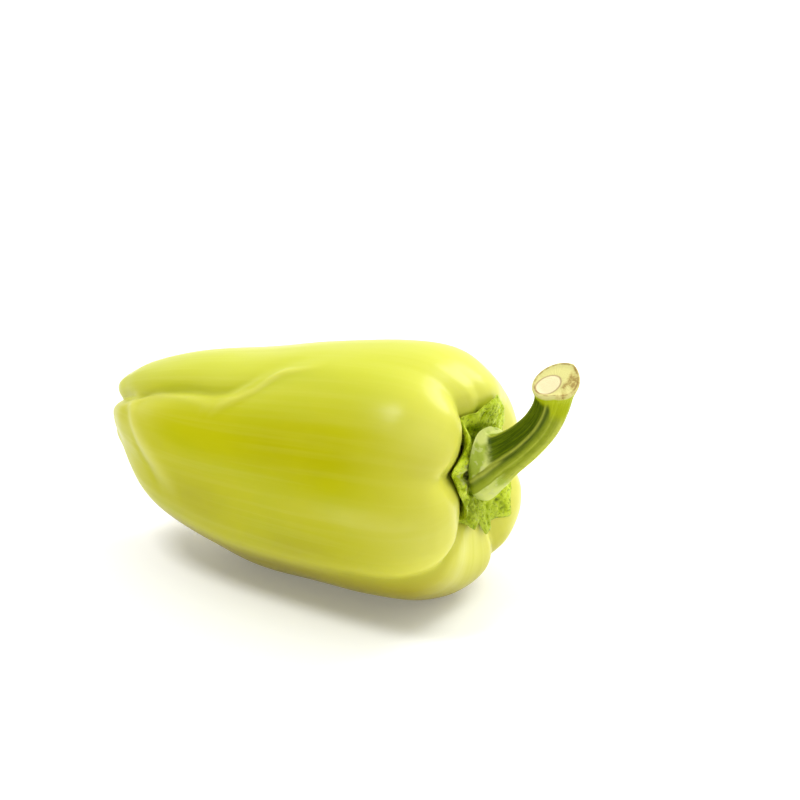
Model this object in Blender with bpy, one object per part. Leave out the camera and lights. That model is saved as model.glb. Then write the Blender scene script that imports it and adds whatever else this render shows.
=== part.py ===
"""A bell pepper lying on its side: the fruit, its calyx and its stem.

Metres, +Z up. The fruit's axis runs along +X from the blossom end to the stem end, and the stem curls up
there. Each piece starts as a sphere whose vertices are moved by a formula. Lengths along the fruit are given as
s, the share of the way over the skin from the blossom pole (0) to the stem pole (1). Angles are in degrees
round the axis: 0 is up, 90 is towards -Y, 180 is down.
"""

import bmesh
import bpy
import numpy as np

NAME = "bell_pepper"

# How it lies: the axis climbs towards the stem end, and the belly is pressed a little flat on the table, wide
# enough that the fruit doesn't rock.
AXIS_TILT = 3.5
MIDDLE_X = 0.0707
MIDDLE_Y = -0.0006
AXIS_HEIGHT = 0.0333

# The skin's turned form from the blossom pole to the stem pole. Each row gives the place along the axis, the
# radius and the height of the section's middle.
PROFILE = (
    (0.0040, 0.0000, 0.0035),
    (0.0016, 0.0040, 0.0035),
    (0.0000, 0.0090, 0.0034),
    (0.0030, 0.0143, 0.0028),
    (0.0090, 0.0200, 0.0014),
    (0.0220, 0.0268, -0.0009),
    (0.0420, 0.0318, -0.0026),
    (0.0640, 0.0350, -0.0030),
    (0.0860, 0.0372, -0.0030),
    (0.1030, 0.0370, -0.0032),
    (0.1135, 0.0320, -0.0030),
    (0.1170, 0.0250, -0.0020),
    (0.1155, 0.0170, 0.0000),
    (0.1125, 0.0080, 0.0017),
    (0.1120, 0.0000, 0.0022),
)

# Grooves between the lobes: s, angle, depth, half width in degrees.
GROOVES = {
    "top_front": (
        (0.00, 44, 0.0000, 20),
        (0.07, 44, 0.0028, 12),
        (0.18, 42, 0.0022, 9),
        (0.30, 38, 0.0020, 8),
        (0.42, 36, 0.0011, 9),
        (0.52, 22, 0.0006, 13),
        (0.64, 14, 0.0010, 15),
        (0.76, 14, 0.0024, 12),
        (0.85, 16, 0.0046, 10),
        (0.93, 17, 0.0026, 12),
        (1.00, 17, 0.0000, 20),
    ),
    "front": (
        (0.00, 90, 0.0000, 20),
        (0.08, 92, 0.0010, 18),
        (0.40, 84, 0.0010, 24),
        (0.65, 71, 0.0013, 20),
        (0.78, 67, 0.0020, 14),
        (0.87, 70, 0.0030, 11),
        (0.93, 78, 0.0023, 13),
        (1.00, 80, 0.0000, 20),
    ),
    "under_front": (
        (0.00, 150, 0.0000, 20),
        (0.08, 150, 0.0016, 18),
        (0.30, 146, 0.0012, 20),
        (0.48, 132, 0.0007, 13),
        (0.60, 124, 0.0010, 9),
        (0.72, 122, 0.0016, 8),
        (0.82, 123, 0.0026, 8),
        (0.87, 128, 0.0036, 8),
        (0.92, 143, 0.0030, 11),
        (1.00, 160, 0.0000, 20),
    ),
    "under_back": (
        (0.00, 200, 0.0000, 20),
        (0.08, 200, 0.0005, 18),
        (0.40, 200, 0.0006, 20),
        (0.65, 201, 0.0010, 16),
        (0.78, 203, 0.0022, 10),
        (0.87, 205, 0.0032, 9),
        (0.93, 202, 0.0020, 11),
        (1.00, 200, 0.0000, 20),
    ),
    "back": (
        (0.00, 255, 0.0000, 20),
        (0.08, 255, 0.0024, 16),
        (0.30, 255, 0.0018, 18),
        (0.50, 258, 0.0018, 22),
        (0.76, 262, 0.0036, 15),
        (0.87, 265, 0.0050, 12),
        (0.93, 265, 0.0030, 14),
        (1.00, 265, 0.0000, 20),
    ),
    "top": (
        (0.00, 330, 0.0000, 20),
        (0.08, 330, 0.0008, 18),
        (0.50, 345, 0.0005, 24),
        (0.72, 356, 0.0007, 12),
        (0.84, 359, 0.0015, 8),
        (0.93, 359, 0.0012, 10),
        (1.00, 359, 0.0000, 20),
    ),
}

# Narrow ridges that cross the lobes, in the same form as the grooves, but with a height for the depth.
RIDGES = {
    "diagonal": (
        (0.340, 52, 0.0000, 6),
        (0.370, 46, 0.0004, 5),
        (0.416, 37, 0.0007, 5),
        (0.451, 30, 0.0007, 5),
        (0.487, 24, 0.0006, 5),
        (0.528, 20, 0.0005, 6),
        (0.610, 20, 0.0003, 8),
        (0.680, 21, 0.0000, 9),
    ),
    "tip": (
        (0.130, 44, 0.0000, 7),
        (0.154, 48, 0.0004, 7),
        (0.195, 68, 0.0005, 7),
        (0.235, 80, 0.0005, 7),
        (0.277, 92, 0.0003, 7),
        (0.310, 98, 0.0000, 7),
    ),
}

# Broad swells and dents: s, angle, half length in s, half width in degrees, height.
SWELLS = (
    (0.04, 15, 0.05, 32, 0.0026),
    (0.06, 88, 0.05, 28, 0.0007),
    (0.11, 115, 0.05, 32, -0.0008),
    (0.12, 130, 0.05, 30, -0.0012),
    (0.20, 5, 0.11, 45, -0.0013),
    (0.32, 150, 0.12, 26, -0.0003),
    (0.38, 350, 0.09, 40, -0.0011),
    (0.46, 182, 0.12, 34, 0.0024),
    (0.52, 156, 0.11, 26, -0.0019),
    (0.69, 158, 0.10, 28, -0.0018),
    (0.74, 350, 0.09, 40, 0.0009),
    (0.82, 158, 0.09, 30, -0.0029),
    (0.82, 320, 0.10, 45, -0.0030),
    (0.84, 106, 0.08, 22, 0.0014),
    (0.85, 190, 0.07, 24, -0.0014),
    (0.86, 340, 0.06, 30, 0.0024),
)
GROOVE_SHARPNESS = 1.6
FRUIT_SEGMENTS = 72
FRUIT_RINGS = 40
STEM_END_CROWDING = 0.08

# The calyx: a thin cap on the stem end. Its edge runs straight between these corners: angle, s.
CALYX_OUTLINE = (
    (0, 0.866),
    (15, 0.880),
    (30, 0.892),
    (50, 0.903),
    (65, 0.895),
    (80, 0.912),
    (95, 0.904),
    (110, 0.912),
    (125, 0.903),
    (140, 0.913),
    (160, 0.902),
    (175, 0.908),
    (185, 0.886),
    (200, 0.887),
    (210, 0.880),
    (220, 0.865),
    (230, 0.884),
    (250, 0.893),
    (265, 0.878),
    (280, 0.893),
    (295, 0.897),
    (305, 0.884),
    (320, 0.884),
    (330, 0.868),
    (345, 0.850),
)
CALYX_WAVES = 11
CALYX_WAVE = 0.002
CALYX_THICKNESS = 0.0013
CALYX_EDGE_THICKNESS = 0.0008
CALYX_EDGE_STEEPNESS = 6.0
SEPAL_LIFT = 0.0010
LIFT_WAVES = 9
RUMPLE = 0.0003
RUMPLE_WAVES = 16
RUMPLE_RINGS = 9.0
CALYX_SEGMENTS = 72
CALYX_RINGS = 16
PIECE_GAP = 0.0004

# The stem's middle line in the upright plane through the axis: along, height.
STEM_PATH = (
    (0.1120, 0.0022),
    (0.1160, 0.0024),
    (0.1195, 0.0044),
    (0.1250, 0.0080),
    (0.1304, 0.0124),
    (0.1352, 0.0177),
    (0.1384, 0.0239),
    (0.1396, 0.0314),
)
# Along that line: distance and radius. Swollen base, neck, stalk, flared cut end.
STEM_PROFILE = (
    (0.0023, 0.0000),
    (0.0026, 0.0050),
    (0.0038, 0.0080),
    (0.0053, 0.0097),
    (0.0069, 0.0099),
    (0.0086, 0.0089),
    (0.0106, 0.0073),
    (0.0133, 0.0061),
    (0.0190, 0.0054),
    (0.0270, 0.0049),
    (0.0340, 0.0048),
    (0.0385, 0.0053),
    (0.0410, 0.0064),
    (0.0424, 0.0069),
    (0.0428, 0.0065),
    (0.0425, 0.0050),
    (0.0426, 0.0030),
    (0.0428, 0.0000),
)
# The sections stay square to the fruit's axis up to the first distance, and are square to the path from the
# second on.
STEM_TURNS = (0.0050, 0.0140)
# Ribs: how many, the angle of the first, height as a share of the radius, and where they fade in and out.
STEM_RIBS = 5
FIRST_RIB = 16
RIB_HEIGHT = 0.11
RIB_SHARPNESS = 1.5
RIBS_FROM = 0.006
RIBS_TO = 0.0425
RIB_FADE = 0.006
# The swollen base: angle, half width in degrees and height as a share of the radius. The first is a rib's root,
# the second a lobe.
BASE_SWELLS = (
    (88, 16, 0.10),
    (53, 38, 0.22),
)
BASE_FROM = 0.003
BASE_TO = 0.013
BASE_FADE = 0.004
# The cut: how far it climbs towards +Y and drops towards -X, per length, and where the torn side starts.
CUT_START = 0.0330
CUT_CLIMB = 0.45
CUT_DROP = 0.18
TORN_FROM = 0.0022
TORN_DROP = 0.50
STEM_SEGMENTS = 40
STEM_RINGS = 34

# Colour, roughness of each piece's plain material.
FINISHES = {
    "fruit": ((0.52, 0.53, 0.03, 1.0), 0.28),
    "calyx": ((0.28, 0.42, 0.03, 1.0), 0.60),
    "stem": ((0.16, 0.24, 0.03, 1.0), 0.50),
}


def clear_scene():
    for old in list(bpy.data.objects):
        bpy.data.objects.remove(old, do_unlink=True)


def smooth(value):
    """0 to 1 with a level start and end."""
    value = np.clip(value, 0.0, 1.0)
    return value * value * (3.0 - 2.0 * value)


def curve_through(points, count=1200):
    """A dense smooth curve through the points, and how far along it each of its own points is."""
    rows = np.asarray(points, float)
    rows = np.vstack([2 * rows[0] - rows[1], rows, 2 * rows[-1] - rows[-2]])
    place = np.linspace(0.0, len(rows) - 3 - 1e-9, count)
    first = place.astype(int)
    t = (place - first)[:, None]
    a, b, c, d = (rows[first + k] for k in range(4))
    cubic = (2 * a - 5 * b + 4 * c - d) * t**2 + (3 * b - a - 3 * c + d) * t**3
    curve = 0.5 * (2 * b + (c - a) * t + cubic)
    steps = np.hypot(np.diff(curve[:, 0]), np.diff(curve[:, 1]))
    run = np.concatenate([[0.0], np.cumsum(steps)])
    return curve, run


def read_at(place, places, columns):
    """The columns at the given place, one array each."""
    return [np.interp(place, places, column) for column in np.asarray(columns).T]


def along(s, stations):
    """The columns of a groove's or ridge's stations at s, on smooth curves."""
    rows = np.asarray(stations, float)
    place = rows[:, 0]
    values = rows[:, 1:]
    slopes = np.gradient(values, place, axis=0)
    i = np.clip(np.searchsorted(place, s, side="right") - 1, 0, len(place) - 2)
    gap = place[i + 1] - place[i]
    t = np.clip((s - place[i]) / gap, 0.0, 1.0)
    found = []
    for k in range(values.shape[1]):
        start = values[i, k] * (1 + 2 * t) * (1 - t) ** 2 + slopes[i, k] * gap * t * (1 - t) ** 2
        end = values[i + 1, k] * (3 - 2 * t) * t**2 + slopes[i + 1, k] * gap * (t - 1) * t**2
        found.append(start + end)
    return found


def turn_between(angle, other):
    """The signed turn from one angle to another, in degrees."""
    return (angle - other + 180.0) % 360.0 - 180.0


def relief(s, angle):
    """Height of the skin over its turned form."""
    height = np.zeros(np.broadcast(s, angle).shape)
    for stations in GROOVES.values():
        middle, depth, width = along(s, stations)
        height -= depth * np.exp(-np.abs(turn_between(angle, middle) / width) ** GROOVE_SHARPNESS)
    for stations in RIDGES.values():
        middle, rise, width = along(s, stations)
        height += rise * np.exp(-(turn_between(angle, middle) / width) ** 2)
    for place, middle, length, width, rise in SWELLS:
        height += rise * np.exp(-((s - place) / length) ** 2 - (turn_between(angle, middle) / width) ** 2)
    return height


def skin(s, angle, lift=0.0):
    """Points on the fruit's skin, or lift above it."""
    curve, run = curve_through(PROFILE)
    tangents = np.gradient(curve[:, :2], run, axis=0)
    tangents /= np.linalg.norm(tangents, axis=1, keepdims=True)
    axial, radius, middle = read_at(s, run / run[-1], curve)
    tangent_axial, tangent_radial = read_at(s, run / run[-1], tangents)
    height = relief(s, angle) + lift
    axial = axial - tangent_radial * height
    radius = np.maximum(radius + tangent_axial * height, 0.0)
    turn = np.radians(angle)
    return np.stack([axial, -radius * np.sin(turn), middle + radius * np.cos(turn)], axis=-1)


def calyx_edge(angle):
    """Where the calyx ends, as s: straight between its corners, and a little wavy."""
    corners, places = zip(*CALYX_OUTLINE)
    edge = np.interp(angle, corners, places, period=360)
    return edge + CALYX_WAVE * np.sin(np.radians(CALYX_WAVES * angle))


def calyx_point(share, angle):
    """Points on the calyx's skin. Share 0 is the middle of its underside, 0.5 its edge, 1 the middle of its top."""
    outward = 1.0 - np.abs(2.0 * share - 1.0)
    s = 1.0 - outward * (1.0 - calyx_edge(angle))
    thickness = CALYX_THICKNESS + (CALYX_EDGE_THICKNESS - CALYX_THICKNESS) * outward**2
    on_top = smooth(0.5 + (share - 0.5) * CALYX_EDGE_STEEPNESS)
    lift = SEPAL_LIFT * outward**4 * (0.5 + 0.5 * np.cos(np.radians(LIFT_WAVES * angle)))
    rumple = RUMPLE * np.cos(np.radians(RUMPLE_WAVES * angle)) * np.cos(RUMPLE_RINGS * outward)
    rumple = rumple * smooth(2.0 * outward)
    return skin(s, angle, PIECE_GAP + lift + on_top * (thickness + rumple))


def stem_radius(distance, radius, angle):
    """The stem's radius with its ribs and with the swellings of its base."""
    rib_turn = np.radians(STEM_RIBS * (angle - FIRST_RIB) / 2)
    ribs = np.abs(np.cos(rib_turn)) ** RIB_SHARPNESS - 0.5
    ribbed = smooth((distance - RIBS_FROM) / RIB_FADE) * smooth((RIBS_TO - distance) / RIB_FADE)
    grown = 1.0 + RIB_HEIGHT * ribbed * ribs
    swollen = smooth((distance - BASE_FROM) / BASE_FADE) * smooth((BASE_TO - distance) / BASE_FADE)
    for middle, width, height in BASE_SWELLS:
        grown = grown + height * swollen * np.exp(-(turn_between(angle, middle) / width) ** 2)
    return np.maximum(radius, 0.0) * grown


def stem_point(share, angle):
    """Points on the stem's skin: share 0 is the middle of its base, 1 the middle of its cut end."""
    path, path_run = curve_through(STEM_PATH)
    slopes = np.gradient(path, path_run, axis=0)
    profile, profile_run = curve_through(STEM_PROFILE)
    distance, radius = read_at(share, profile_run / profile_run[-1], profile)
    radius = stem_radius(distance, radius, angle)
    x, z = read_at(distance, path_run, path)
    along_x, along_z = read_at(distance, path_run, slopes)
    turn = np.arctan2(along_z, along_x)
    turn = turn * smooth((distance - STEM_TURNS[0]) / (STEM_TURNS[1] - STEM_TURNS[0]))
    up = radius * np.cos(np.radians(angle))
    back = -radius * np.sin(np.radians(angle))
    cut = CUT_CLIMB * back - CUT_DROP * up - TORN_DROP * np.maximum(-up - TORN_FROM, 0.0)
    forward = cut * smooth((distance - CUT_START) / (STEM_PROFILE[-1][0] - CUT_START))
    x = x - up * np.sin(turn) + forward * np.cos(turn)
    z = z + up * np.cos(turn) + forward * np.sin(turn)
    return np.stack([x, back, z], axis=-1)


def laid_down(points):
    """Points of the fruit's own frame where the pepper lies on the table, and none below it."""
    tilt = np.radians(AXIS_TILT)
    x, y, z = points[..., 0], points[..., 1], points[..., 2]
    lying_x = x * np.cos(tilt) - z * np.sin(tilt) - MIDDLE_X
    lying_z = x * np.sin(tilt) + z * np.cos(tilt) + AXIS_HEIGHT
    return np.stack([lying_x, y - MIDDLE_Y, np.maximum(lying_z, 0.0)], axis=-1)


def shaped_sphere(name, segments, rings, point_at):
    """A sphere whose vertices are moved to point_at(share of the way from pole to pole, angle)."""
    body = bmesh.new()
    bmesh.ops.create_uvsphere(body, u_segments=segments, v_segments=rings, radius=1.0)
    ball = np.array([vertex.co for vertex in body.verts])
    share = 1.0 - np.arccos(np.clip(ball[:, 2], -1.0, 1.0)) / np.pi
    angle = np.degrees(np.arctan2(ball[:, 1], ball[:, 0]))
    places = laid_down(point_at(share, angle))
    for vertex, place in zip(body.verts, places):
        vertex.co = place
    bmesh.ops.triangulate(body, faces=body.faces)
    mesh = bpy.data.meshes.new(name)
    body.to_mesh(mesh)
    body.free()
    mesh.shade_smooth()
    return mesh


def plain_material(name):
    colour, roughness = FINISHES[name]
    material = bpy.data.materials.new(name + "_finish")
    material.use_nodes = True
    shader = material.node_tree.nodes["Principled BSDF"]
    shader.inputs["Base Color"].default_value = colour
    shader.inputs["Roughness"].default_value = roughness
    shader.inputs["Metallic"].default_value = 0.0
    return material


def add_piece(collection, name, mesh):
    piece = bpy.data.objects.new(name, mesh)
    mesh.materials.append(plain_material(name))
    collection.objects.link(piece)
    return piece


def fruit_point(share, angle):
    """The fruit's skin, with the sphere's rings crowded a little towards the stem end."""
    return skin(share + STEM_END_CROWDING * np.sin(np.pi * share), angle)


def main():
    clear_scene()
    collection = bpy.data.collections.new(NAME)
    bpy.context.scene.collection.children.link(collection)
    fruit = shaped_sphere("fruit", FRUIT_SEGMENTS, FRUIT_RINGS, fruit_point)
    add_piece(collection, "fruit", fruit)
    calyx = shaped_sphere("calyx", CALYX_SEGMENTS, CALYX_RINGS, calyx_point)
    add_piece(collection, "calyx", calyx)
    stem = shaped_sphere("stem", STEM_SEGMENTS, STEM_RINGS, stem_point)
    add_piece(collection, "stem", stem)


main()
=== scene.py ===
"""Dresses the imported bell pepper: a fine waxy skin, a crumpled calyx, a ribbed stem, light and camera.

Metres, +Z up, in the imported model's frame. The pieces take the solids' own formulas on finer meshes, and
add the low relief and the colours. Lengths along the fruit are given as s, the share of the way over the
skin from the blossom pole (0) to the stem pole (1). Angles are in degrees round the axis: 0 is up, 90 is
towards -Y.
"""

import bmesh
import bpy
import numpy as np
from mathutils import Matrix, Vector, noise


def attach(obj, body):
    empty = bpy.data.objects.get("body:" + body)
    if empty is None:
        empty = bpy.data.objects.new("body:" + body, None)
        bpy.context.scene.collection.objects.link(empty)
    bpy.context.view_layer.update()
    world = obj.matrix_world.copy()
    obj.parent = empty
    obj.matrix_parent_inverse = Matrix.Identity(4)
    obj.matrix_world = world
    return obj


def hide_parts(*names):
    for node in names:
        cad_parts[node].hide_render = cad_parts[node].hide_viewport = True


# How it lies.
AXIS_TILT = 3.5
MIDDLE_X = 0.0707
MIDDLE_Y = -0.0006
AXIS_HEIGHT = 0.0333

# The skin's turned form from the blossom pole to the stem pole. Each row gives the place along the axis,
# the radius and the height of the section's middle.
PROFILE = (
    (0.0040, 0.0000, 0.0035),
    (0.0016, 0.0040, 0.0035),
    (0.0000, 0.0090, 0.0034),
    (0.0030, 0.0143, 0.0028),
    (0.0090, 0.0200, 0.0014),
    (0.0220, 0.0268, -0.0009),
    (0.0420, 0.0318, -0.0026),
    (0.0640, 0.0350, -0.0030),
    (0.0860, 0.0372, -0.0030),
    (0.1030, 0.0370, -0.0032),
    (0.1135, 0.0320, -0.0030),
    (0.1170, 0.0250, -0.0020),
    (0.1155, 0.0170, 0.0000),
    (0.1125, 0.0080, 0.0017),
    (0.1120, 0.0000, 0.0022),
)

# Grooves between the lobes: s, angle, depth, half width in degrees.
GROOVES = {
    "top_front": (
        (0.00, 44, 0.0000, 20),
        (0.07, 44, 0.0028, 12),
        (0.18, 42, 0.0022, 9),
        (0.30, 38, 0.0020, 8),
        (0.42, 36, 0.0011, 9),
        (0.52, 22, 0.0006, 13),
        (0.64, 14, 0.0010, 15),
        (0.76, 14, 0.0024, 12),
        (0.85, 16, 0.0046, 10),
        (0.93, 17, 0.0026, 12),
        (1.00, 17, 0.0000, 20),
    ),
    "front": (
        (0.00, 90, 0.0000, 20),
        (0.08, 92, 0.0010, 18),
        (0.40, 84, 0.0010, 24),
        (0.65, 71, 0.0013, 20),
        (0.78, 67, 0.0020, 14),
        (0.87, 70, 0.0030, 11),
        (0.93, 78, 0.0023, 13),
        (1.00, 80, 0.0000, 20),
    ),
    "under_front": (
        (0.00, 150, 0.0000, 20),
        (0.08, 150, 0.0016, 18),
        (0.30, 146, 0.0012, 20),
        (0.48, 132, 0.0007, 13),
        (0.60, 124, 0.0010, 9),
        (0.72, 122, 0.0016, 8),
        (0.82, 123, 0.0026, 8),
        (0.87, 128, 0.0036, 8),
        (0.92, 143, 0.0030, 11),
        (1.00, 160, 0.0000, 20),
    ),
    "under_back": (
        (0.00, 200, 0.0000, 20),
        (0.08, 200, 0.0005, 18),
        (0.40, 200, 0.0006, 20),
        (0.65, 201, 0.0010, 16),
        (0.78, 203, 0.0022, 10),
        (0.87, 205, 0.0032, 9),
        (0.93, 202, 0.0020, 11),
        (1.00, 200, 0.0000, 20),
    ),
    "back": (
        (0.00, 255, 0.0000, 20),
        (0.08, 255, 0.0024, 16),
        (0.30, 255, 0.0018, 18),
        (0.50, 258, 0.0018, 22),
        (0.76, 262, 0.0036, 15),
        (0.87, 265, 0.0050, 12),
        (0.93, 265, 0.0030, 14),
        (1.00, 265, 0.0000, 20),
    ),
    "top": (
        (0.00, 330, 0.0000, 20),
        (0.08, 330, 0.0008, 18),
        (0.50, 345, 0.0005, 24),
        (0.72, 356, 0.0007, 12),
        (0.84, 359, 0.0015, 8),
        (0.93, 359, 0.0012, 10),
        (1.00, 359, 0.0000, 20),
    ),
}
GROOVE_SHARPNESS = 1.6

# Narrow ridges that cross the lobes: s, angle, height, half width in degrees.
RIDGES = {
    "diagonal": (
        (0.340, 52, 0.0000, 6),
        (0.370, 46, 0.0004, 5),
        (0.416, 37, 0.0007, 5),
        (0.451, 30, 0.0007, 5),
        (0.487, 24, 0.0006, 5),
        (0.528, 20, 0.0005, 6),
        (0.610, 20, 0.0003, 8),
        (0.680, 21, 0.0000, 9),
    ),
    "tip": (
        (0.130, 44, 0.0000, 7),
        (0.154, 48, 0.0004, 7),
        (0.195, 68, 0.0005, 7),
        (0.235, 80, 0.0005, 7),
        (0.277, 92, 0.0003, 7),
        (0.310, 98, 0.0000, 7),
    ),
}
# Finer lines that only the scene has, in the same form. A negative height makes a crease.
FINE_LINES = {
    "crest_of_diagonal": (
        (0.360, 52, 0.0000, 3),
        (0.385, 46, 0.0003, 3),
        (0.420, 40, 0.0004, 2),
        (0.444, 35, 0.0004, 2),
        (0.460, 30, 0.0004, 2),
        (0.480, 25, 0.0004, 2),
        (0.505, 23, 0.0003, 2),
        (0.560, 19, 0.0000, 3),
    ),
    "fold_under_top_lobe": (
        (0.150, 60, 0.0000, 4),
        (0.186, 46, 0.0003, 3),
        (0.265, 42, 0.0003, 3),
        (0.331, 44, 0.0002, 3),
        (0.390, 50, 0.0000, 4),
    ),
    "crease_under_top_lobe": (
        (0.090, 54, 0.0000, 5),
        (0.130, 51, -0.0004, 4),
        (0.170, 44, -0.0005, 3),
        (0.240, 38, -0.0005, 3),
        (0.305, 36, -0.0005, 3),
        (0.356, 37, -0.0005, 3),
        (0.395, 35, -0.0004, 3),
        (0.440, 27, 0.0000, 4),
    ),
    "crease_of_tip": (
        (0.180, 74, 0.0000, 6),
        (0.204, 83, -0.0002, 5),
        (0.228, 90, -0.0002, 5),
        (0.244, 96, -0.0002, 5),
        (0.270, 103, 0.0000, 6),
    ),
    "crease_over_low_lobe": (
        (0.560, 124, 0.0000, 4),
        (0.660, 123, -0.0002, 3),
        (0.800, 124, -0.0004, 3),
        (0.860, 128, -0.0004, 3),
        (0.910, 140, 0.0000, 4),
    ),
}

# Broad swells and dents: s, angle, half length in s, half width in degrees, height.
SWELLS = (
    (0.04, 15, 0.05, 32, 0.0026),
    (0.06, 88, 0.05, 28, 0.0007),
    (0.11, 115, 0.05, 32, -0.0008),
    (0.12, 130, 0.05, 30, -0.0012),
    (0.20, 5, 0.11, 45, -0.0013),
    (0.32, 150, 0.12, 26, -0.0003),
    (0.38, 350, 0.09, 40, -0.0011),
    (0.46, 182, 0.12, 34, 0.0024),
    (0.52, 156, 0.11, 26, -0.0019),
    (0.69, 158, 0.10, 28, -0.0018),
    (0.74, 350, 0.09, 40, 0.0009),
    (0.82, 158, 0.09, 30, -0.0029),
    (0.82, 320, 0.10, 45, -0.0030),
    (0.84, 106, 0.08, 22, 0.0014),
    (0.85, 190, 0.07, 24, -0.0014),
    (0.86, 340, 0.06, 30, 0.0024),
)
# How much the mesh's rings crowd towards the stem's end.
STEM_END_CROWDING = 0.08

# The skin's own fine relief: long waves along the lobes, and shallow dimples. Each row gives the height,
# the noise's grain along the fruit and round it, and its seed. They fade out towards both ends.
SKIN_WAVES = (
    (0.00026, 5.0, 3.2, 3.0),
    (0.00009, 9.0, 7.0, 11.0),
    (0.00002, 8.0, 24.0, 23.0),
)
WAVES_FADE_AT_STEM = 0.16
WAVES_FADE_AT_TIP = 0.05

# What the skin's colours follow: where its top is, the depth of groove and the height of line that count in
# full, and the share of a groove's width that is coloured.
TOP_ANGLE = -10
DEEPEST_GROOVE = 0.0046
HIGHEST_LINE = 0.0005
GROOVE_CORE = 0.6
# Soft patches of deeper and of paler skin: s, angle, half length in s, half width in degrees.
DEEP_PATCHES = (
    (0.34, 98, 0.07, 13),
    (0.57, 62, 0.14, 13),
    (0.57, 111, 0.08, 9),
    (0.80, 62, 0.05, 7),
)
PALE_PATCHES = (
    (0.20, 58, 0.05, 16),
    (0.36, 30, 0.10, 9),
    (0.71, 88, 0.12, 5),
    (0.78, 46, 0.05, 10),
    (0.83, 100, 0.06, 12),
)

# The calyx's edge runs straight between these corners: angle, s.
CALYX_OUTLINE = (
    (0, 0.866),
    (15, 0.880),
    (30, 0.892),
    (50, 0.903),
    (65, 0.895),
    (80, 0.912),
    (95, 0.904),
    (110, 0.912),
    (125, 0.903),
    (140, 0.913),
    (160, 0.902),
    (175, 0.908),
    (185, 0.886),
    (200, 0.887),
    (210, 0.880),
    (220, 0.865),
    (230, 0.884),
    (250, 0.893),
    (265, 0.878),
    (280, 0.893),
    (295, 0.897),
    (305, 0.884),
    (320, 0.884),
    (330, 0.868),
    (345, 0.850),
)
# Waves of that edge, the calyx's thickness, the lift of its points, its broad rumples, and its gap to the
# fruit.
CALYX_WAVES = 11
CALYX_WAVE = 0.002
CALYX_THICKNESS = 0.0013
CALYX_EDGE_THICKNESS = 0.0008
CALYX_EDGE_STEEPNESS = 6.0
SEPAL_LIFT = 0.0010
LIFT_WAVES = 9
RUMPLE = 0.0003
RUMPLE_WAVES = 16
RUMPLE_RINGS = 9.0
RUMPLE_GROWTH = 2.0
PIECE_GAP = 0.0004
# Its crumples: height, grain and seed of the noise. Sharp folds, then small lumps.
CRUMPLES = (
    (0.00050, 300.0, 5.0),
    (0.00034, 620.0, 17.0),
    (0.00014, 1400.0, 29.0),
)
CRUMPLE_SHARPNESS = 2.4
CRUMPLE_GROWTH = 3.0
CREST_SPAN = 0.0014
# The pale swelling between the calyx and the stem's base: its middle and half width in degrees, its height,
# and where it ends and how it fades, in shares of the way to the calyx's edge.
RECEPTACLE_AT = 66
RECEPTACLE_WIDTH = 36.0
RECEPTACLE_RISE = 0.0018
RECEPTACLE_TO = 0.97
RECEPTACLE_FADE = 0.20
# The sepals underneath, painted darker as shade: their middle, half width and fade in degrees.
LOW_SEPALS_AT = 160
LOW_SEPALS_WIDTH = 80.0
LOW_SEPALS_FADE = 50.0

# The stem's middle line in the upright plane through the axis: along, height.
STEM_PATH = (
    (0.1120, 0.0022),
    (0.1160, 0.0024),
    (0.1195, 0.0044),
    (0.1250, 0.0080),
    (0.1304, 0.0124),
    (0.1352, 0.0177),
    (0.1384, 0.0239),
    (0.1396, 0.0314),
)
CUT_RADIUS = 0.0064
# Along that line: distance and radius. Swollen base, neck, stalk, flared cut end.
STEM_PROFILE = (
    (0.0023, 0.0000),
    (0.0026, 0.0050),
    (0.0038, 0.0080),
    (0.0053, 0.0097),
    (0.0069, 0.0099),
    (0.0086, 0.0089),
    (0.0106, 0.0073),
    (0.0133, 0.0061),
    (0.0190, 0.0054),
    (0.0270, 0.0049),
    (0.0340, 0.0048),
    (0.0385, 0.0052),
    (0.0410, 0.0060),
    (0.0424, CUT_RADIUS),
    (0.0428, 0.0060),
    (0.0425, 0.0047),
    (0.0426, 0.0028),
    (0.0428, 0.0000),
)
# Its sections stand upright at the base, and are square to the line past the second of these distances.
STEM_TURNS = (0.0050, 0.0140)
# Its ribs. Their height is a share of the radius.
STEM_RIBS = 5
FIRST_RIB = 16
RIB_HEIGHT = 0.11
RIB_SHARPNESS = 1.5
RIBS_FROM = 0.006
RIBS_TO = 0.0425
RIB_FADE = 0.006
# The swellings of its base: angle, half width in degrees, height as a share of the radius.
BASE_SWELLS = (
    (88, 16, 0.10),
    (53, 38, 0.22),
)
BASE_FROM = 0.003
BASE_TO = 0.013
BASE_FADE = 0.004
# The cut slants across the stem, and it is torn on the side away from the fruit.
CUT_START = 0.0330
CUT_CLIMB = 0.45
CUT_DROP = 0.18
TORN_FROM = 0.0022
TORN_DROP = 0.50

# The stem's finer form: the sharp edges of its ribs, one vein more, the root that runs down its base, its
# fibres, and the base's lumps. Widths are in degrees, rises in shares of the radius, and grains are the
# noise's own, along and round.
RIB_EDGE_WIDTH = 4.0
RIB_EDGE_RISE = 0.04
VEIN_ANGLE = 118
VEIN_RISE = 0.025
ROOT_ANGLE = 94
ROOT_WIDTH = 5.0
ROOT_FROM = 0.0030
ROOT_FROM_FADE = 0.0020
ROOT_TO = 0.0160
ROOT_TO_FADE = 0.0040
FIBRE_GRAIN = (160.0, 4.2)
FIBRE_SEED = 3.0
FIBRE_RISE = 0.022
LUMP_GRAIN = (380.0, 2.2)
LUMP_SEED = 9.0
LUMP_RISE = 0.12
LUMPS_TO = 0.0130
LUMPS_FADE = 0.0050
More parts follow.
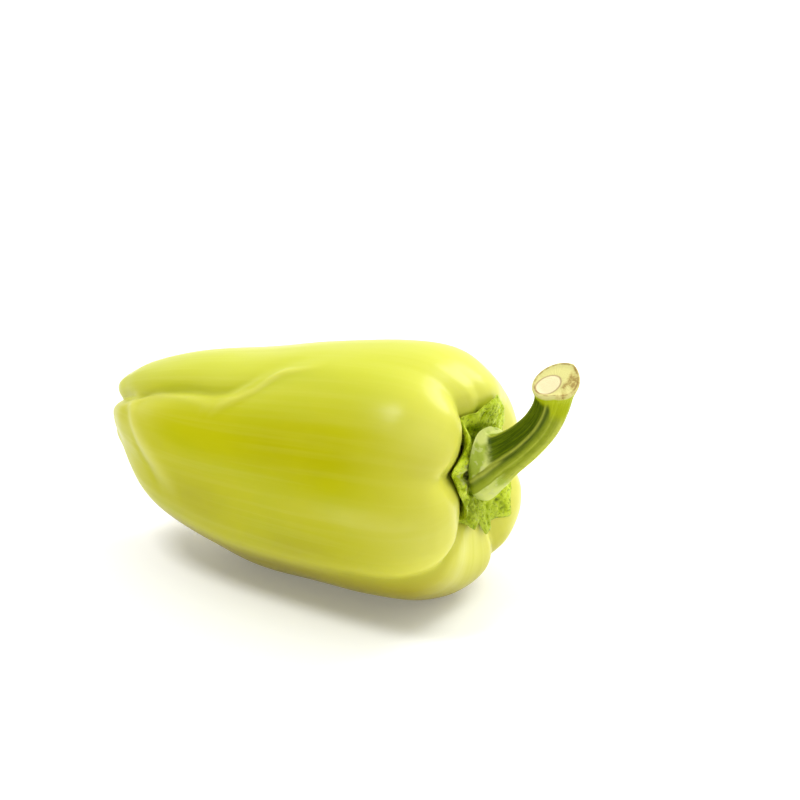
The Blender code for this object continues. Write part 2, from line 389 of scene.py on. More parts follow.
# What its colours follow: its darkest side, its pale low edge, its pale base, which ends sooner beside the
# root, and on the cut end the pith and the browned torn side.
DARK_SIDE = 58
DARK_WIDTH = 36.0
DARK_FADE = 20.0
LOW_EDGE = 160
LOW_EDGE_WIDTH = 20.0
VEIN_PALENESS = 0.6
PALE_TO = 0.0134
PALE_FADE = 0.0036
SOONER_BY = 0.0085
SOONER_FROM = -8.0
SOONER_TO = 36.0
SOONER_FADE = 14.0
PITH_AT = (0.0015, -0.0018)
PITH_RADIUS = 0.0032
CUT_FROM_SHARE = 0.86
CUT_SHARE_FADE = 0.02
TORN_FADE = 0.0008

# Segments round and rings along each fine mesh, and points along each smooth curve.
FRUIT_MESH = (360, 280)
CALYX_MESH = (320, 96)
STEM_MESH = (180, 240)
CURVE_POINTS = 1200

# The floor, and the studio's soft boxes: azimuth, elevation, distance, width and brightness of each.
FLOOR_RADIUS = 4.0
FLOOR_SEGMENTS = 96
FLOOR_GLOW = 0.19
SOFT_BOXES = {
    "key": (155, 44, 1.3, 0.65, 7.3),
    "overhead": (-35, 66, 1.2, 0.38, 15.5),
}
SOFT_BOX_AIM = (0.0, 0.0, 0.04)
# The world is bright all round, but for a dark room on the camera's side.
WORLD_COLOUR = (1.0, 1.0, 1.0, 1.0)
WORLD_STRENGTH = 1.0
DARK_TOWARDS = (-15, 12)
DARK_LEVEL = 0.02
DARK_FROM = 0.20
DARK_FULLY = 0.80

# The camera: where it looks from and how far, the calyx's place along the fruit, and how far right of and
# below the picture's middle that place shows.
CAMERA_AZIMUTH = 25.5
CAMERA_ELEVATION = 24.0
CAMERA_DISTANCE = 0.700
CALYX_ALONG = 0.1170
CALYX_SHOWS_AT = (0.02417, -0.02028)
LENS = 113.4


def smooth(value):
    """0 to 1 with a level start and end."""
    value = np.clip(value, 0.0, 1.0)
    return value * value * (3.0 - 2.0 * value)


def curve_through(points):
    """A dense smooth curve through the points, and how far along it each of its own points is."""
    rows = np.asarray(points, float)
    rows = np.vstack([2 * rows[0] - rows[1], rows, 2 * rows[-1] - rows[-2]])
    place = np.linspace(0.0, len(rows) - 3 - 1e-9, CURVE_POINTS)
    first = place.astype(int)
    t = (place - first)[:, None]
    a, b, c, d = (rows[first + k] for k in range(4))
    cubic = (2 * a - 5 * b + 4 * c - d) * t**2 + (3 * b - a - 3 * c + d) * t**3
    curve = 0.5 * (2 * b + (c - a) * t + cubic)
    steps = np.hypot(np.diff(curve[:, 0]), np.diff(curve[:, 1]))
    run = np.concatenate([[0.0], np.cumsum(steps)])
    return curve, run


def read_at(place, places, columns):
    """The columns at the given place, one array each."""
    return [np.interp(place, places, column) for column in np.asarray(columns).T]


def along(s, stations):
    """The columns of a groove's or ridge's stations at s, on smooth curves."""
    rows = np.asarray(stations, float)
    place = rows[:, 0]
    values = rows[:, 1:]
    slopes = np.gradient(values, place, axis=0)
    i = np.clip(np.searchsorted(place, s, side="right") - 1, 0, len(place) - 2)
    gap = place[i + 1] - place[i]
    t = np.clip((s - place[i]) / gap, 0.0, 1.0)
    found = []
    for k in range(values.shape[1]):
        start = values[i, k] * (1 + 2 * t) * (1 - t) ** 2 + slopes[i, k] * gap * t * (1 - t) ** 2
        end = values[i + 1, k] * (3 - 2 * t) * t**2 + slopes[i + 1, k] * gap * (t - 1) * t**2
        found.append(start + end)
    return found


def turn_between(angle, other):
    """The signed turn from one angle to another, in degrees."""
    return (angle - other + 180.0) % 360.0 - 180.0


def relief(s, angle):
    """Height of the skin over its turned form."""
    height = np.zeros(np.broadcast(s, angle).shape)
    for stations in GROOVES.values():
        middle, depth, width = along(s, stations)
        height -= depth * np.exp(-np.abs(turn_between(angle, middle) / width) ** GROOVE_SHARPNESS)
    for stations in [*RIDGES.values(), *FINE_LINES.values()]:
        middle, rise, width = along(s, stations)
        height += rise * np.exp(-(turn_between(angle, middle) / width) ** 2)
    for place, middle, length, width, rise in SWELLS:
        height += rise * np.exp(-((s - place) / length) ** 2 - (turn_between(angle, middle) / width) ** 2)
    return height


def skin(s, angle, lift=0.0):
    """Points on the fruit's skin, or lift above it."""
    curve, run = curve_through(PROFILE)
    tangents = np.gradient(curve[:, :2], run, axis=0)
    tangents /= np.linalg.norm(tangents, axis=1, keepdims=True)
    axial, radius, middle = read_at(s, run / run[-1], curve)
    tangent_axial, tangent_radial = read_at(s, run / run[-1], tangents)
    height = relief(s, angle) + lift
    axial = axial - tangent_radial * height
    radius = np.maximum(radius + tangent_axial * height, 0.0)
    turn = np.radians(angle)
    return np.stack([axial, -radius * np.sin(turn), middle + radius * np.cos(turn)], axis=-1)


def grain_coordinates(s, angle, length, girth):
    """Coordinates for noise that runs along the fruit: s times length, then a circle of that girth."""
    turn = np.radians(angle)
    s, turn = np.broadcast_arrays(s, turn)
    return np.stack([s * length, np.cos(turn) * girth, np.sin(turn) * girth], axis=-1)


def noise_at(places, seed):
    """Smooth noise from about -1 to 1 at each place. The seed moves it elsewhere in the noise."""
    offset = Vector((seed, 1.7 * seed, -0.6 * seed))
    return np.array([noise.noise(Vector(place) + offset) for place in places])


def fruit_point(share, angle):
    """The fruit's skin with its fine relief, and the masks that its colours follow."""
    s = share + STEM_END_CROWDING * np.sin(np.pi * share)
    fine = np.zeros(len(s))
    for height, length, girth, seed in SKIN_WAVES:
        fine += height * noise_at(grain_coordinates(s, angle, length, girth), seed)
    fine *= smooth((1.0 - s) / WAVES_FADE_AT_STEM) * smooth(s / WAVES_FADE_AT_TIP)
    masks = {
        "along": s,
        "upward": np.cos(np.radians(angle - TOP_ANGLE)),
        "groove": groove_mask(s, angle),
        "ridge": line_mask(s, angle, 1.0),
        "crease": line_mask(s, angle, -1.0),
        "deeper": patch_mask(s, angle, DEEP_PATCHES),
        "paler": patch_mask(s, angle, PALE_PATCHES),
        "grain": grain_coordinates(s, angle, 1.0, 1.0),
    }
    return skin(s, angle, fine), masks


def patch_mask(s, angle, patches):
    """1 in the middle of each soft patch, 0 away from them."""
    found = np.zeros(len(s))
    for place, middle, length, width in patches:
        near = np.exp(-((s - place) / length) ** 2 - (turn_between(angle, middle) / width) ** 2)
        found = np.maximum(found, near)
    return found


def groove_mask(s, angle):
    """1 in the middle of a deep groove, 0 away from it."""
    found = np.zeros(len(s))
    for stations in GROOVES.values():
        middle, depth, width = along(s, stations)
        near = np.exp(-(turn_between(angle, middle) / (GROOVE_CORE * width)) ** 2)
        found = np.maximum(found, near * np.clip(depth / DEEPEST_GROOVE, 0.0, 1.0))
    return found


def line_mask(s, angle, sign):
    """1 along the full height of a ridge, or of a crease where the sign is -1, and 0 away from it."""
    found = np.zeros(len(s))
    for stations in [RIDGES["tip"], *FINE_LINES.values()]:
        middle, rise, width = along(s, stations)
        near = np.exp(-(turn_between(angle, middle) / width) ** 2)
        found = np.maximum(found, near * np.clip(sign * rise / HIGHEST_LINE, 0.0, 1.0))
    return found


def calyx_edge(angle):
    """Where the calyx ends, as s: straight between its corners, and a little wavy."""
    corners, places = zip(*CALYX_OUTLINE)
    edge = np.interp(angle, corners, places, period=360)
    return edge + CALYX_WAVE * np.sin(np.radians(CALYX_WAVES * angle))


def calyx_crumples(places):
    """Height of the crumples at each place: ridged noise, so that the folds are sharp."""
    folds = np.zeros(len(places))
    for height, fineness, seed in CRUMPLES:
        folds += height * (1.0 - CRUMPLE_SHARPNESS * np.abs(noise_at(places * fineness, seed)))
    return folds


def receptacle_mask(outward, angle):
    """1 on the pale swelling under the stem, 0 away from it."""
    inside = smooth((RECEPTACLE_TO - outward) / RECEPTACLE_FADE)
    return inside * np.exp(-(turn_between(angle, RECEPTACLE_AT) / RECEPTACLE_WIDTH) ** 2)


def calyx_point(share, angle):
    """The calyx's skin and masks. Share 0 is the middle of its underside, 0.5 its edge, 1 its top."""
    outward = 1.0 - np.abs(2.0 * share - 1.0)
    s = 1.0 - outward * (1.0 - calyx_edge(angle))
    thickness = CALYX_THICKNESS + (CALYX_EDGE_THICKNESS - CALYX_THICKNESS) * outward**2
    on_top = smooth(0.5 + (share - 0.5) * CALYX_EDGE_STEEPNESS)
    lift = SEPAL_LIFT * outward**4 * (0.5 + 0.5 * np.cos(np.radians(LIFT_WAVES * angle)))
    rumple = RUMPLE * np.cos(np.radians(RUMPLE_WAVES * angle)) * np.cos(RUMPLE_RINGS * outward)
    rumple = rumple * smooth(RUMPLE_GROWTH * outward)
    folds = calyx_crumples(skin(s, angle)) * smooth(CRUMPLE_GROWTH * outward)
    swollen = receptacle_mask(outward, angle)
    lift = lift + on_top * RECEPTACLE_RISE * swollen
    from_low = np.abs(turn_between(angle, LOW_SEPALS_AT))
    masks = {
        "outward": outward,
        "low": smooth((LOW_SEPALS_WIDTH - from_low) / LOW_SEPALS_FADE),
        "receptacle": swollen,
        "crest": np.clip(0.5 + folds / CREST_SPAN, 0.0, 1.0),
        "grain": grain_coordinates(s, angle, 1.0, 1.0),
    }
    return skin(s, angle, PIECE_GAP + lift + on_top * (thickness + rumple + folds)), masks


def stem_radius(distance, radius, angle):
    """The stem's radius with its ribs and with the swellings of its base."""
    rib_turn = np.radians(STEM_RIBS * (angle - FIRST_RIB) / 2)
    ribs = np.abs(np.cos(rib_turn)) ** RIB_SHARPNESS - 0.5
    ribbed = smooth((distance - RIBS_FROM) / RIB_FADE) * smooth((RIBS_TO - distance) / RIB_FADE)
    grown = 1.0 + RIB_HEIGHT * ribbed * ribs
    swollen = smooth((distance - BASE_FROM) / BASE_FADE) * smooth((BASE_TO - distance) / BASE_FADE)
    for middle, width, height in BASE_SWELLS:
        grown = grown + height * swollen * np.exp(-(turn_between(angle, middle) / width) ** 2)
    return np.maximum(radius, 0.0) * grown, ribbed


def stem_edges(distance, angle, ribbed):
    """1 along each rib's edge and along the root, 0 away from them. The same for the extra vein."""
    from_rib = (angle - FIRST_RIB + 180.0 / STEM_RIBS) % (360.0 / STEM_RIBS) - 180.0 / STEM_RIBS
    rib_edge = np.exp(-(from_rib / RIB_EDGE_WIDTH) ** 2) * ribbed
    below = smooth((distance - ROOT_FROM) / ROOT_FROM_FADE) * smooth((ROOT_TO - distance) / ROOT_TO_FADE)
    root = below * np.exp(-(turn_between(angle, ROOT_ANGLE) / ROOT_WIDTH) ** 2)
    vein = np.exp(-(turn_between(angle, VEIN_ANGLE) / RIB_EDGE_WIDTH) ** 2) * ribbed
    return np.maximum(rib_edge, root), vein


def pale_base_mask(distance, angle):
    """1 on the stem's pale base, 0 above it. It ends sooner beside the root."""
    past_root = turn_between(angle, ROOT_ANGLE)
    beside = smooth(1.0 - past_root / SOONER_FROM) * smooth((SOONER_TO - past_root) / SOONER_FADE)
    return smooth((PALE_TO - SOONER_BY * beside - distance) / PALE_FADE)


def bent_along_stem(distance, up, back):
    """Points so far up and back from the stem's middle line, at that distance along it, up to the cut."""
    path, run = curve_through(STEM_PATH)
    slopes = np.gradient(path, run, axis=0)
    x, z = read_at(distance, run, path)
    along_x, along_z = read_at(distance, run, slopes)
    turn = np.arctan2(along_z, along_x)
    turn = turn * smooth((distance - STEM_TURNS[0]) / (STEM_TURNS[1] - STEM_TURNS[0]))
    cut = CUT_CLIMB * back - CUT_DROP * up - TORN_DROP * np.maximum(-up - TORN_FROM, 0.0)
    forward = cut * smooth((distance - CUT_START) / (STEM_PROFILE[-1][0] - CUT_START))
    x = x - up * np.sin(turn) + forward * np.cos(turn)
    z = z + up * np.cos(turn) + forward * np.sin(turn)
    return np.stack([x, back, z], axis=-1)


def stem_point(share, angle):
    """The stem's skin and masks. Share 0 is the middle of its base, 1 the middle of its cut end."""
    profile, run = curve_through(STEM_PROFILE)
    distance, radius = read_at(share, run / run[-1], profile)
    radius, ribbed = stem_radius(distance, radius, angle)
    edge, vein = stem_edges(distance, angle, ribbed)
    fibres = ribbed * noise_at(grain_coordinates(distance, angle, *FIBRE_GRAIN), FIBRE_SEED)
    lumps = noise_at(grain_coordinates(distance, angle, *LUMP_GRAIN), LUMP_SEED)
    at_base = smooth((LUMPS_TO - distance) / LUMPS_FADE)
    rise = RIB_EDGE_RISE * edge + VEIN_RISE * vein + FIBRE_RISE * fibres + LUMP_RISE * at_base * lumps
    radius = radius * (1.0 + rise)
    up = radius * np.cos(np.radians(angle))
    back = -radius * np.sin(np.radians(angle))
    masks = {
        "distance": distance,
        "edge": np.maximum(edge, VEIN_PALENESS * vein),
        "lit_side": smooth((np.abs(turn_between(angle, DARK_SIDE)) - DARK_WIDTH) / DARK_FADE),
        "low_edge": np.exp(-(turn_between(angle, LOW_EDGE) / LOW_EDGE_WIDTH) ** 2) * ribbed,
        "lump": lumps,
        "pale_base": pale_base_mask(distance, angle),
        "to_rim": np.hypot(up, back) / CUT_RADIUS,
        "on_cut": smooth((share - CUT_FROM_SHARE) / CUT_SHARE_FADE),
        "from_pith": np.hypot(up - PITH_AT[0], back - PITH_AT[1]) / PITH_RADIUS,
        "torn": smooth((-up - TORN_FROM) / TORN_FADE),
        "grain": grain_coordinates(distance, angle, 1.0, 1.0),
    }
    return bent_along_stem(distance, up, back), masks


def laid_down(points):
    """Points of the fruit's own frame where the pepper lies on the table, and none below it."""
    tilt = np.radians(AXIS_TILT)
    x, y, z = points[..., 0], points[..., 1], points[..., 2]
    lying_x = x * np.cos(tilt) - z * np.sin(tilt) - MIDDLE_X
    lying_z = x * np.sin(tilt) + z * np.cos(tilt) + AXIS_HEIGHT
    return np.stack([lying_x, y - MIDDLE_Y, np.maximum(lying_z, 0.0)], axis=-1)


def add_mask(mesh, name, values):
    """Keeps one number, or one vector, for each vertex under that name."""
    kind, field = ("FLOAT", "value") if values.ndim == 1 else ("FLOAT_VECTOR", "vector")
    mask = mesh.attributes.new(name, kind, "POINT")
    mask.data.foreach_set(field, values.astype(np.float32).ravel())


def ball_grid(segments, rings):
    """A sphere's grid: each vertex's share of the way from pole to pole and its angle, and the faces."""
    turns = np.arange(segments) * 360.0 / segments
    share = np.concatenate([[0.0], np.repeat(np.arange(1, rings) / rings, segments), [1.0]])
    angle = np.concatenate([[0.0], np.tile(turns, rings - 1), [0.0]])
    last = len(share) - 1
    faces = []
    for i in range(segments):
        j = (i + 1) % segments
        faces.append((0, 1 + j, 1 + i))
        for row in range(rings - 2):
            low = 1 + row * segments
            high = low + segments
            faces.append((low + i, low + j, high + j, high + i))
        faces.append((last - segments + i, last - segments + j, last))
    return share, angle, faces


def shaped_piece(name, size, point_at, material):
    """A closed skin whose vertices are where point_at(share, angle) puts them, with its masks."""
    share, angle, faces = ball_grid(*size)
    points, masks = point_at(share, angle)
    mesh = bpy.data.meshes.new(name)
    mesh.from_pydata(laid_down(points).tolist(), [], faces)
    for mask, values in masks.items():
        add_mask(mesh, mask, values)
    mesh.shade_smooth()
    mesh.materials.append(material)
    piece = bpy.data.objects.new(name, mesh)
    bpy.context.scene.collection.objects.link(piece)
    return piece


class Nodes:
    """Short calls for building one material's nodes."""

    def __init__(self, name):
        self.material = bpy.data.materials.new(name)
        self.material.use_nodes = True
        self.tree = self.material.node_tree
        self.shader = self.tree.nodes["Principled BSDF"]

    def put(self, socket, value):
        """Links an output into the socket, or sets the socket's own value."""
        if isinstance(value, bpy.types.NodeSocket):
            self.tree.links.new(value, socket)
        else:
            socket.default_value = value

    def mask(self, name, vector=False):
        """What add_mask kept under that name."""
        node = self.tree.nodes.new("ShaderNodeAttribute")
        node.attribute_name = name
        return node.outputs["Vector" if vector else "Fac"]

    def math(self, operation, first, second):
        """Two numbers added, subtracted or multiplied."""
        node = self.tree.nodes.new("ShaderNodeMath")
        node.operation = operation
        self.put(node.inputs[0], first)
        self.put(node.inputs[1], second)
        return node.outputs[0]

    def ramp(self, value, low, high, out_low=0.0, out_high=1.0):
        """The value from low to high, read as out_low to out_high with soft ends."""
        node = self.tree.nodes.new("ShaderNodeMapRange")
        node.interpolation_type = "SMOOTHSTEP"
        self.put(node.inputs["Value"], value)
        numbers = {"From Min": low, "From Max": high, "To Min": out_low, "To Max": out_high}
        for socket, number in numbers.items():
            node.inputs[socket].default_value = number
        return node.outputs["Result"]

    def stretched(self, vector, scale):
        """The vector times that scale, each way its own."""
        node = self.tree.nodes.new("ShaderNodeVectorMath")
        node.operation = "MULTIPLY"
        self.put(node.inputs[0], vector)
        node.inputs[1].default_value = scale
        return node.outputs[0]

    def noise(self, vector, scale, detail, roughness=0.5):
        """Soft noise from 0 to 1, most of it near 0.5."""
        node = self.tree.nodes.new("ShaderNodeTexNoise")
        self.put(node.inputs["Vector"], vector)
        numbers = {"Scale": scale, "Detail": detail, "Roughness": roughness}
        for socket, number in numbers.items():
            node.inputs[socket].default_value = number
        return node.outputs["Fac"]

    def places(self):
        """The object's own coordinates, in metres."""
        node = self.tree.nodes.new("ShaderNodeTexCoord")
        return node.outputs["Object"]

    def mix(self, share, first, second):
        """Two colours mixed by share."""
        node = self.tree.nodes.new("ShaderNodeMix")
        node.data_type = "RGBA"
        self.put(node.inputs["Factor"], share)
        self.put(node.inputs["A"], first)
        self.put(node.inputs["B"], second)
        return node.outputs["Result"]

    def bump(self, height, strength, distance, normal=None):
        """The normal bent by that height, over another bump where one is given."""
        node = self.tree.nodes.new("ShaderNodeBump")
        self.put(node.inputs["Height"], height)
        node.inputs["Strength"].default_value = strength
        node.inputs["Distance"].default_value = distance
        if normal is not None:
            self.put(node.inputs["Normal"], normal)
        return node.outputs["Normal"]

    def finish(self, colour, roughness, normal, **constants):
        """Feeds the shader. The constants are set on its own sockets."""
        self.put(self.shader.inputs["Base Color"], colour)
        self.put(self.shader.inputs["Roughness"], roughness)
        self.put(self.shader.inputs["Normal"], normal)
        for name, value in constants.items():
            self.shader.inputs[name.replace("_", " ")].default_value = value
        return self.material


def skin_colour(n, blotches, streaks):
    """Yellow-green, greener on top with a painted sheen, paler at both ends, painted highlights on ridges,
    painted shade below and in creases.
    """
    body = (0.570, 0.560, 0.0020, 1.0)
    deeper = (0.500, 0.480, 0.0006, 1.0)
    pale = (0.760, 0.740, 0.150, 1.0)
    green = (0.480, 0.525, 0.003, 1.0)
    top_green_and_sheen = (0.580, 0.620, 0.045, 1.0)
    # Painted shade, used in the creases and round the calyx:
    deep = (0.360, 0.400, 0.006, 1.0)
    painted_belly_shade = (0.310, 0.260, 0.001, 1.0)
    s = n.mask("along")
    upward = n.mask("upward")
    broken = n.ramp(blotches, 0.25, 0.60, 0.45, 1.0)
    colour = n.mix(n.ramp(blotches, 0.44, 0.66, 0.0, 0.25), body, green)
    colour = n.mix(n.math("MULTIPLY", n.mask("deeper"), broken), colour, deeper)
    colour = n.mix(n.math("MULTIPLY", n.mask("paler"), n.math("MULTIPLY", broken, 0.40)), colour, pale)
    # Greener on top, and paler there as a painted sheen from the light above.
    colour = n.mix(n.ramp(upward, 0.35, 0.95, 0.0, 0.75), colour, top_green_and_sheen)
    # Paler towards the stem end: partly paler skin, partly a painted sheen.
    colour = n.mix(n.ramp(s, 0.62, 0.86, 0.0, 0.55), colour, pale)
    colour = n.mix(n.ramp(s, 0.20, 0.02, 0.0, 0.25), colour, pale)
    colour = n.mix(n.ramp(streaks, 0.45, 0.70, 0.0, 0.10), colour, pale)
    # Painted highlight: pale along the ridges and raised lines.
    colour = n.mix(n.math("MULTIPLY", n.mask("ridge"), 0.60), colour, pale)
    # Painted shade: deep green along the creases.
    colour = n.mix(n.math("MULTIPLY", n.mask("crease"), 0.22), colour, deep)
    # Greener in the grooves, and darker there as painted shade.
    colour = n.mix(n.ramp(n.mask("groove"), 0.25, 1.0, 0.0, 0.12), colour, green)
    # Painted shade: the underside is coloured a dark deep yellow, fading out towards the stem end.
    underneath = n.math("MULTIPLY", n.ramp(upward, -0.58, -0.82, 0.0, 0.94), n.ramp(s, 0.88, 0.72))
    colour = n.mix(underneath, colour, painted_belly_shade)
    # Painted shade: deep green round the calyx, where the skin runs in under its edge.
    return n.mix(n.ramp(s, 0.895, 0.95, 0.0, 0.2), colour, deep)


def fruit_material():
    """Waxy skin with soft sheen, faintly streaked along the lobes."""
    n = Nodes("waxy_skin")
    grain = n.mask("grain", vector=True)
    blotches = n.noise(n.stretched(grain, (3.0, 1.3, 1.3)), 2.4, 3.0)
    streaks = n.noise(n.stretched(grain, (1.4, 10.0, 10.0)), 1.6, 3.0)
    dimples = n.noise(n.places(), 300.0, 0.0)
    normal = n.bump(streaks, 0.02, 0.0012)
    normal = n.bump(dimples, 0.04, 0.0004, normal)
    return n.finish(
        skin_colour(n, blotches, streaks),
        0.30,
        normal,
        Subsurface_Weight=0.22,
        Subsurface_Radius=(1.0, 0.85, 0.10),
        Subsurface_Scale=0.0045,
        IOR=1.38,
        Specular_IOR_Level=0.30,
    )


def calyx_material():
    """Fresh green, pale on the crests of the crumples as painted light, painted shade in the folds, below
    and at the edge, dark veins and fine dots.
    """
    n = Nodes("calyx_crumpled")
    crest = n.mask("crest")
    outward = n.mask("outward")
    middle_green = (0.500, 0.620, 0.006, 1.0)
    pale_and_lit_green = (0.680, 0.800, 0.060, 1.0)
    veins_and_shade_green = (0.150, 0.215, 0.004, 1.0)
    swelling_pale = (0.640, 0.700, 0.190, 1.0)
    lumps = n.noise(n.places(), 560.0, 3.0, 0.6)
    dots = n.noise(n.places(), 1500.0, 1.0)
    veins = n.noise(n.stretched(n.mask("grain", vector=True), (30.0, 9.0, 9.0)), 1.5, 3.0)
    # Painted shade: dark green down in the folds of the crumples.
    colour = n.mix(n.ramp(crest, 0.20, 0.60), veins_and_shade_green, middle_green)
    # Painted light: pale green on the crests of the crumples.
    colour = n.mix(n.ramp(crest, 0.55, 0.90, 0.0, 0.75), colour, pale_and_lit_green)
    colour = n.mix(n.ramp(lumps, 0.52, 0.68, 0.0, 0.5), colour, pale_and_lit_green)
    colour = n.mix(n.ramp(veins, 0.52, 0.70, 0.0, 0.35), colour, veins_and_shade_green)
    colour = n.mix(n.ramp(dots, 0.44, 0.32, 0.0, 0.6), colour, veins_and_shade_green)
    # Painted shade: darker on the sepals underneath.
    colour = n.mix(n.math("MULTIPLY", n.mask("low"), 0.40), colour, veins_and_shade_green)
    # Painted shade: darker along the calyx's edge, where it meets the fruit.
    colour = n.mix(n.ramp(outward, 0.955, 1.0, 0.0, 0.2), colour, veins_and_shade_green)
    swelling = n.mix(n.ramp(lumps, 0.35, 0.60), middle_green, swelling_pale)
    colour = n.mix(n.ramp(n.mask("receptacle"), 0.30, 0.60), colour, swelling)
    normal = n.bump(lumps, 0.9, 0.0005)
    return n.finish(
        colour,
        n.ramp(lumps, 0.3, 0.7, 0.55, 0.42),
        normal,
        Subsurface_Weight=0.10,
        Subsurface_Radius=(0.6, 1.0, 0.15),
        Subsurface_Scale=0.0012,
        Specular_IOR_Level=0.15,
    )


def stem_skin_colour(n, lines, mottle):
    """Dark on its upper side, paler on the others, with pale ribs, base and neck."""
    dark = (0.050, 0.085, 0.001, 1.0)
    middle = (0.110, 0.160, 0.001, 1.0)
    lit = (0.300, 0.365, 0.010, 1.0)
    pale = (0.520, 0.560, 0.070, 1.0)
    base = (0.620, 0.680, 0.180, 1.0)
    painted_dent_shade = (0.360, 0.450, 0.050, 1.0)
    base_spots = (0.780, 0.820, 0.340, 1.0)
    painted_rim_shade = (0.270, 0.360, 0.030, 1.0)
    neck = (0.400, 0.465, 0.003, 1.0)
    lit_side = n.mask("lit_side")
    colour = n.mix(n.ramp(lines, 0.40, 0.68), dark, middle)
    colour = n.mix(n.math("MULTIPLY", lit_side, 0.80), colour, lit)
    colour = n.mix(n.math("MULTIPLY", n.mask("low_edge"), 0.90), colour, pale)
    colour = n.mix(n.ramp(lines, 0.50, 0.66, 0.0, 0.22), colour, middle)
    colour = n.mix(n.math("MULTIPLY", n.mask("edge"), 0.65), colour, pale)
    # Painted shade: darker green in the dents between the base's lumps.
    at_base = n.mix(n.ramp(n.mask("lump"), -0.35, 0.15), painted_dent_shade, base)
    at_base = n.mix(n.ramp(mottle, 0.52, 0.64, 0.0, 0.45), at_base, base_spots)
    # Painted shade: darker green on the base below its widest ring, down to the calyx.
    at_base = n.mix(n.ramp(n.mask("distance"), 0.0076, 0.0056, 0.0, 0.65), at_base, painted_rim_shade)
    uneven = n.math("MULTIPLY", n.math("SUBTRACT", mottle, 0.5), 0.8)
    colour = n.mix(n.ramp(n.math("ADD", n.mask("pale_base"), uneven), 0.10, 0.90), colour, at_base)
    colour = n.mix(n.ramp(mottle, 0.50, 0.68, 0.0, 0.20), colour, middle)
    reach = n.math("ADD", n.mask("distance"), n.math("MULTIPLY", lit_side, 0.0045))
    return n.mix(n.ramp(reach, 0.0368, 0.0402), colour, neck)


def cut_colour(n, mottle):
    """A pale pith in a thin brown ring, a pale band, a brown line by the rim, and a browned torn side."""
    pith = (0.880, 0.780, 0.450, 1.0)
    band = (0.720, 0.680, 0.250, 1.0)
    brown = (0.300, 0.180, 0.045, 1.0)
    tan = (0.560, 0.470, 0.140, 1.0)
    from_pith = n.mask("from_pith")
    torn = n.mask("torn")
    to_rim = n.mask("to_rim")
    colour = n.mix(n.ramp(from_pith, 0.92, 1.04, 0.0, 0.70), pith, brown)
    colour = n.mix(n.ramp(from_pith, 1.06, 1.18), colour, band)
    colour = n.mix(n.math("MULTIPLY", torn, n.ramp(mottle, 0.38, 0.56, 0.15, 0.85)), colour, tan)
    colour = n.mix(n.math("MULTIPLY", torn, n.ramp(mottle, 0.54, 0.64, 0.0, 0.70)), colour, brown)
    line = n.math("MULTIPLY", n.ramp(to_rim, 0.84, 0.90), n.ramp(to_rim, 0.97, 0.92))
    return n.mix(n.math("MULTIPLY", line, n.ramp(mottle, 0.35, 0.60, 0.25, 0.80)), colour, brown)


def stem_material():
    """Green, finely lined skin, and the pale cut end."""
    n = Nodes("stem_ribbed")
    lines = n.noise(n.stretched(n.mask("grain", vector=True), (60.0, 5.0, 5.0)), 2.2, 3.0, 0.6)
    mottle = n.noise(n.places(), 520.0, 3.0)
    colour = n.mix(n.mask("on_cut"), stem_skin_colour(n, lines, mottle), cut_colour(n, mottle))
    normal = n.bump(lines, 0.4, 0.0005)
    normal = n.bump(mottle, 0.3, 0.0003, normal)
    return n.finish(colour, n.ramp(mottle, 0.3, 0.7, 0.42, 0.55), normal, Specular_IOR_Level=0.08)


def floor_material():
    """Nearly white, with a faint glow of its own, so that it stays white beyond the pepper's shadow."""
    n = Nodes("pale_floor")
    white = (0.900, 0.900, 0.895, 1.0)
    off_white = (0.885, 0.887, 0.880, 1.0)
    tint = n.noise(n.places(), 3.0, 2.0)
    colour = n.mix(n.ramp(tint, 0.3, 0.7, 0.0, 0.4), white, off_white)
    normal = n.bump(tint, 0.01, 0.001)
    return n.finish(
        colour,
        0.6,
        normal,
        Specular_IOR_Level=0.2,
        Emission_Color=(1.0, 1.0, 0.985, 1.0),
        Emission_Strength=FLOOR_GLOW,
    )


def add_floor():
    """A wide round floor at height 0. It belongs to the stage, not to the pepper."""
    mesh = bpy.data.meshes.new("floor")
    body = bmesh.new()
    bmesh.ops.create_circle(body, cap_ends=True, segments=FLOOR_SEGMENTS, radius=FLOOR_RADIUS)
    body.to_mesh(mesh)
    body.free()
    mesh.materials.append(floor_material())
    floor = bpy.data.objects.new("floor", mesh)
    bpy.context.scene.collection.objects.link(floor)


def direction(azimuth, elevation):
    """The unit vector towards that azimuth and elevation. Azimuth 0 is -Y and 90 is +X."""
    a, e = np.radians(azimuth), np.radians(elevation)
    return Vector((np.sin(a) * np.cos(e), -np.cos(a) * np.cos(e), np.sin(e)))


def add_soft_boxes():
    """Square lamps that face the pepper. The wider a lamp is, the more light it gives at one brightness."""
    middle = Vector(SOFT_BOX_AIM)
    for name, (azimuth, elevation, distance, width, brightness) in SOFT_BOXES.items():
        data = bpy.data.lights.new(name, "AREA")
        data.shape = "SQUARE"
        data.size = width
        data.energy = brightness * np.pi * width**2
        lamp = bpy.data.objects.new(name, data)
        lamp.location = middle + direction(azimuth, elevation) * distance
        lamp.rotation_mode = "QUATERNION"
        lamp.rotation_quaternion = direction(azimuth, elevation).to_track_quat("Z", "Y")
        bpy.context.scene.collection.objects.link(lamp)


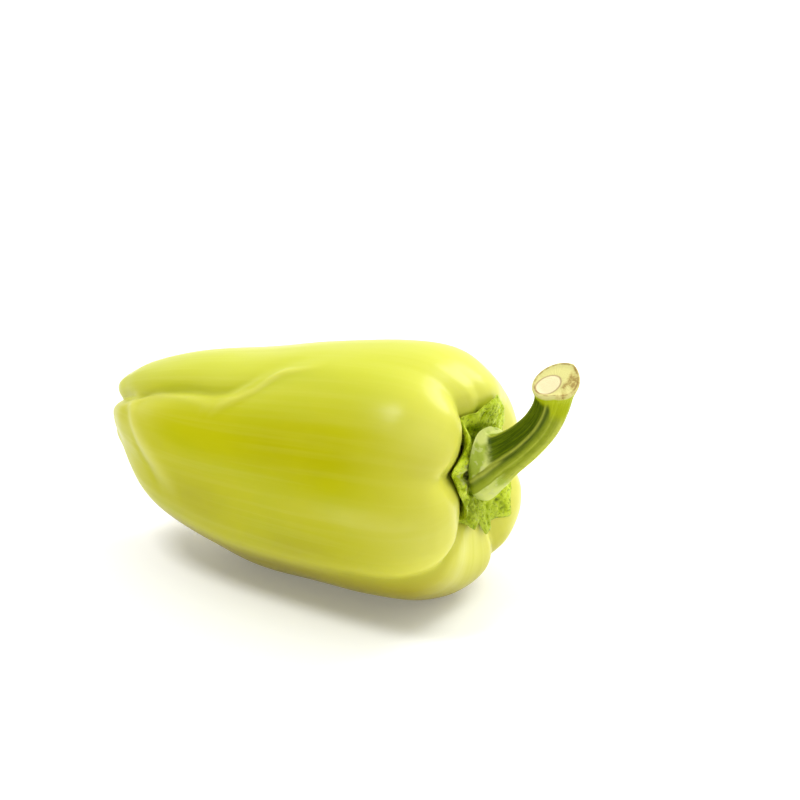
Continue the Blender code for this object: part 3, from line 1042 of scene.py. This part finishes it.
def add_world():
    """White light from all round, fading to the dark room."""
    world = bpy.data.worlds.new("studio")
    world.use_nodes = True
    bpy.context.scene.world = world
    tree = world.node_tree
    place = tree.nodes.new("ShaderNodeTexCoord")
    towards = tree.nodes.new("ShaderNodeVectorMath")
    towards.operation = "DOT_PRODUCT"
    towards.inputs[1].default_value = direction(*DARK_TOWARDS)
    tree.links.new(place.outputs["Generated"], towards.inputs[0])
    level = tree.nodes.new("ShaderNodeMapRange")
    level.interpolation_type = "SMOOTHSTEP"
    numbers = {"From Min": DARK_FROM, "From Max": DARK_FULLY, "To Min": 1.0, "To Max": DARK_LEVEL}
    for socket, number in numbers.items():
        level.inputs[socket].default_value = number
    tree.links.new(towards.outputs["Value"], level.inputs["Value"])
    shine = tree.nodes["Background"]
    shine.inputs["Color"].default_value = WORLD_COLOUR
    strength = tree.nodes.new("ShaderNodeMath")
    strength.operation = "MULTIPLY"
    strength.inputs[1].default_value = WORLD_STRENGTH
    tree.links.new(level.outputs["Result"], strength.inputs[0])
    tree.links.new(strength.outputs[0], shine.inputs["Strength"])


def add_camera():
    """The photograph's view."""
    back = direction(CAMERA_AZIMUTH, CAMERA_ELEVATION)
    right = Vector((0.0, 0.0, 1.0)).cross(back).normalized()
    up = back.cross(right)
    calyx_place = Vector(laid_down(np.array([CALYX_ALONG, 0.0, 0.0])))
    place = calyx_place + back * CAMERA_DISTANCE
    aim = calyx_place - right * CALYX_SHOWS_AT[0] - up * CALYX_SHOWS_AT[1]
    data = bpy.data.cameras.new("camera")
    data.lens = LENS
    camera = bpy.data.objects.new("camera", data)
    camera.location = place
    camera.rotation_mode = "QUATERNION"
    camera.rotation_quaternion = (aim - place).to_track_quat("-Z", "Y")
    bpy.context.scene.collection.objects.link(camera)
    bpy.context.scene.camera = camera


def add_pieces():
    """The three fine pieces, each in place of its solid's skin."""
    pieces = {
        "skin_of_fruit": ("fruit", "fruit_skin", FRUIT_MESH, fruit_point, fruit_material()),
        "crumpled_calyx": ("calyx", "calyx", CALYX_MESH, calyx_point, calyx_material()),
        "ribbed_stem": ("stem", "stem", STEM_MESH, stem_point, stem_material()),
    }
    for name, (node, slot, size, point_at, material) in pieces.items():
        piece = shaped_piece(name, size, point_at, material)
        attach(piece, "root")
        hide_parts(node)


def corners(bounds):
    """The two corners of a box as plain lists."""
    return [list(corner) for corner in bounds]


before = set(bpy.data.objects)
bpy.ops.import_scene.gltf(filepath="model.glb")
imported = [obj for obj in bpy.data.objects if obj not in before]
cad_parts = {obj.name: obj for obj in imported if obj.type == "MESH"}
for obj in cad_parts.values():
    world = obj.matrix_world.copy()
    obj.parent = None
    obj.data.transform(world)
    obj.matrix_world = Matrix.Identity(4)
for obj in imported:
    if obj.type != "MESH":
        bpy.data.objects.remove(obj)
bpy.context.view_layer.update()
add_pieces()
add_floor()
add_soft_boxes()
add_world()
add_camera()
bpy.context.scene.view_settings.view_transform = "Standard"
bpy.context.scene.cycles.use_denoising = True
